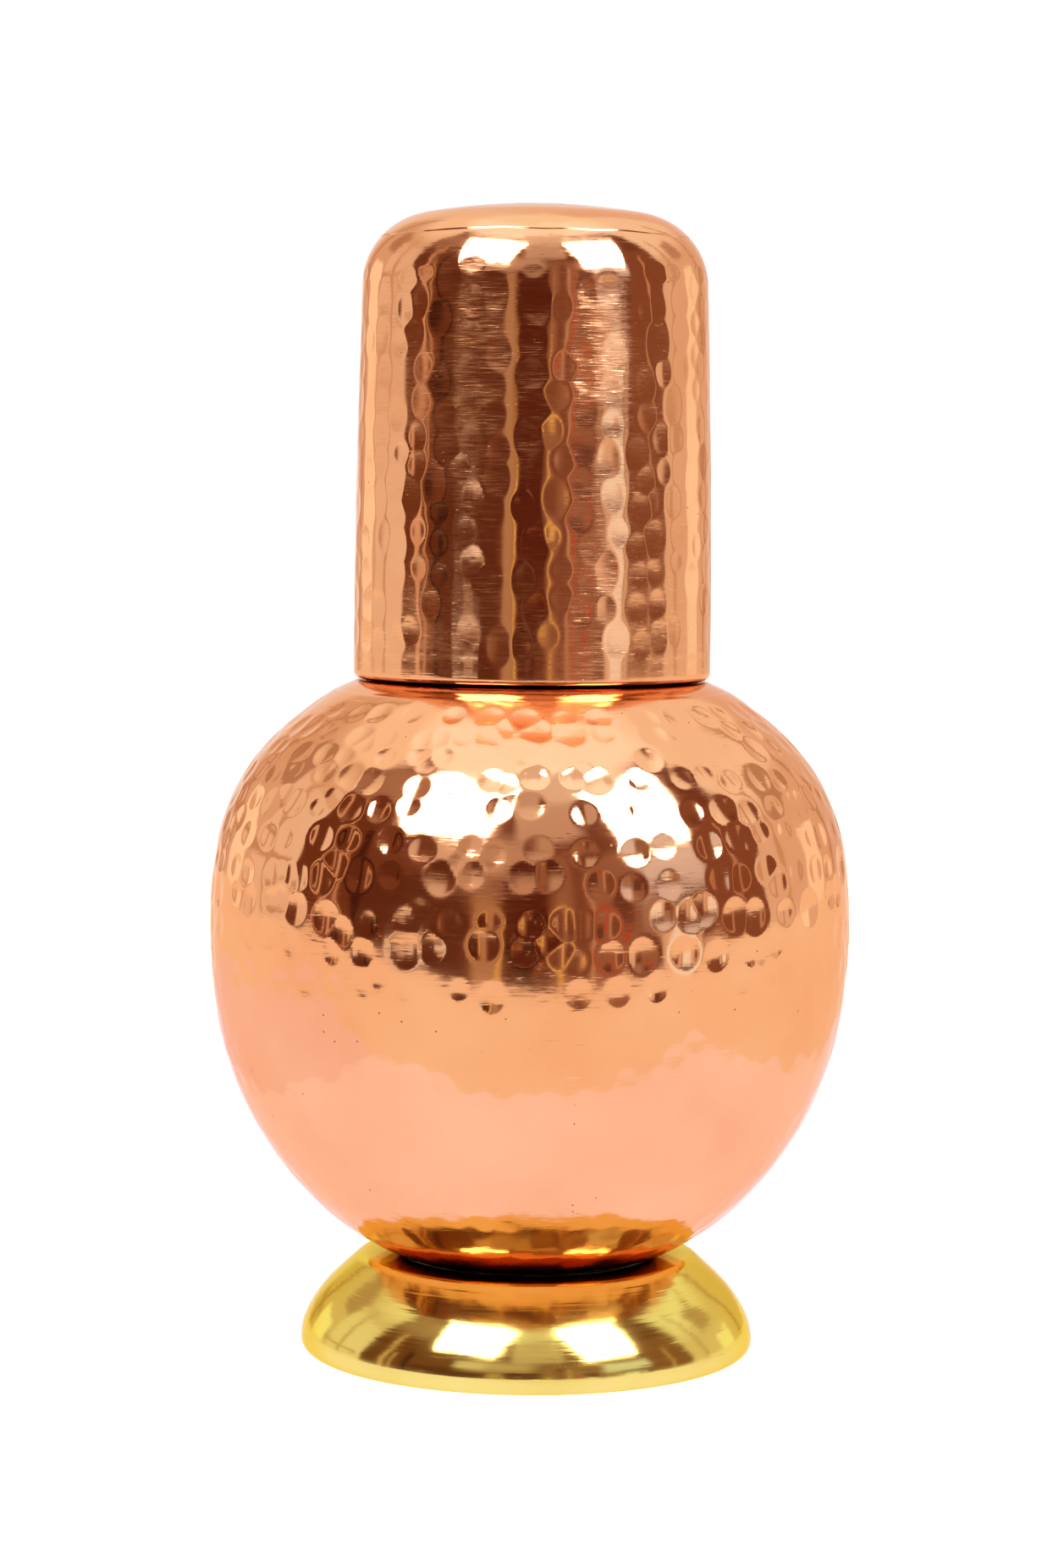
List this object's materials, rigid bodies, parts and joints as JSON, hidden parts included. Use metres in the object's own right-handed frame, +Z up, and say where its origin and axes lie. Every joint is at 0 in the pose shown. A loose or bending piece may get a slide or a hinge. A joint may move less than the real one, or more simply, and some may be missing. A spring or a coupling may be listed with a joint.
{
  "type": "water jug",
  "caption": "Round hammered water jug on a flared foot, with a straight neck and a drinking tumbler that turns over the neck as its lid.",
  "frame": {"origin": "middle of the foot, on the surface that the jug stands on", "axes": "+Z up along the turned axis, out of the neck; X and Y are equal"},
  "size_m": [0.142, 0.142, 0.254],
  "materials": {
    "hammered_copper": "hammered and polished copper",
    "smooth_copper": "turned and polished copper",
    "brass": "spun and polished brass",
    "braze": "rough as cast",
    "solder": "dull solder",
    "wire": "drawn copper wire"
  },
  "bodies": {
    "jug": {"foot": "brass", "foot_solder": "solder", "lower_bowl": "hammered_copper", "upper_bowl": "hammered_copper", "belly_braze": "braze", "neck": "smooth_copper", "neck_braze": "braze", "neck_lip_wire": "wire"},
    "tumbler": {"tumbler_wall": "hammered_copper", "tumbler_base": "smooth_copper", "tumbler_braze": "braze", "tumbler_lip_wire": "wire"}
  },
  "joints": [
    {"name": "tumbler_lift", "type": "slide", "parent": "jug", "child": "tumbler", "axis": [0, 0, 1], "range_m": [0, 0.1]}
  ]
}
